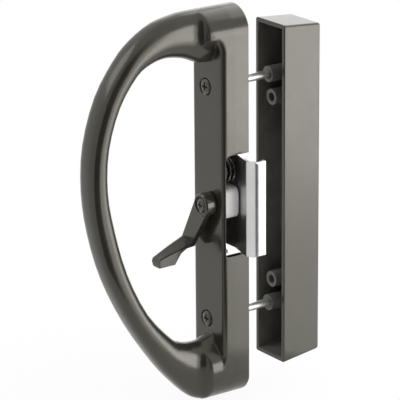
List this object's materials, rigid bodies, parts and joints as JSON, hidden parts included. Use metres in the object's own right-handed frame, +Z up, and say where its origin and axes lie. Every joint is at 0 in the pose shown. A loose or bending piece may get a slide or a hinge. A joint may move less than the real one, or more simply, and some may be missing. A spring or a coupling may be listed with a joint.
{
  "type": "sliding door handle set",
  "caption": "Sliding patio door handle set: inside D-grip with thumb lever and hooked clamp latch, long through screws and a plain outside pull.",
  "frame": {"origin": "on the door's inside face, in the middle of the housing's width and midway between the two mounting screws", "axes": "+X along the door's width towards the jamb, +Y through the door from inside to outside, +Z up along the handle"},
  "size_m": [0.0393, 0.1386, 0.2093],
  "materials": {
    "handle_enamel": "gloss",
    "pull_enamel": "gloss",
    "lever_enamel": "gloss",
    "zinc_screw": "zinc plated, black head",
    "black_screw": "gloss",
    "white_nylon": "satin",
    "bright_chrome": "bright chrome",
    "spring_wire": "oiled"
  },
  "bodies": {
    "housing": {"inside_handle": "handle_enamel", "outside_pull": "pull_enamel", "mounting_screw_upper": "zinc_screw", "mounting_screw_lower": "zinc_screw", "latch_spring": "spring_wire"},
    "thumb_lever": {"lever": "lever_enamel", "lever_screw": "black_screw", "latch_cam": "white_nylon"},
    "clamp": {"latch": "bright_chrome"}
  },
  "joints": [
    {"name": "lever_turn", "type": "hinge", "parent": "housing", "child": "thumb_lever", "pos_m": [0.0025, -0.0232, 0.0018], "axis": [0, 1, 0], "range_deg": [0, 110]},
    {"name": "latch_swing", "type": "hinge", "parent": "housing", "child": "clamp", "pos_m": [-0.0075, -0.00115, 0.00055], "axis": [0, 0, 1], "range_deg": [0, 8]}
  ],
  "couplings": [
    {"joint": "latch_swing", "follows": "lever_turn", "ratio": 0.0727}
  ]
}
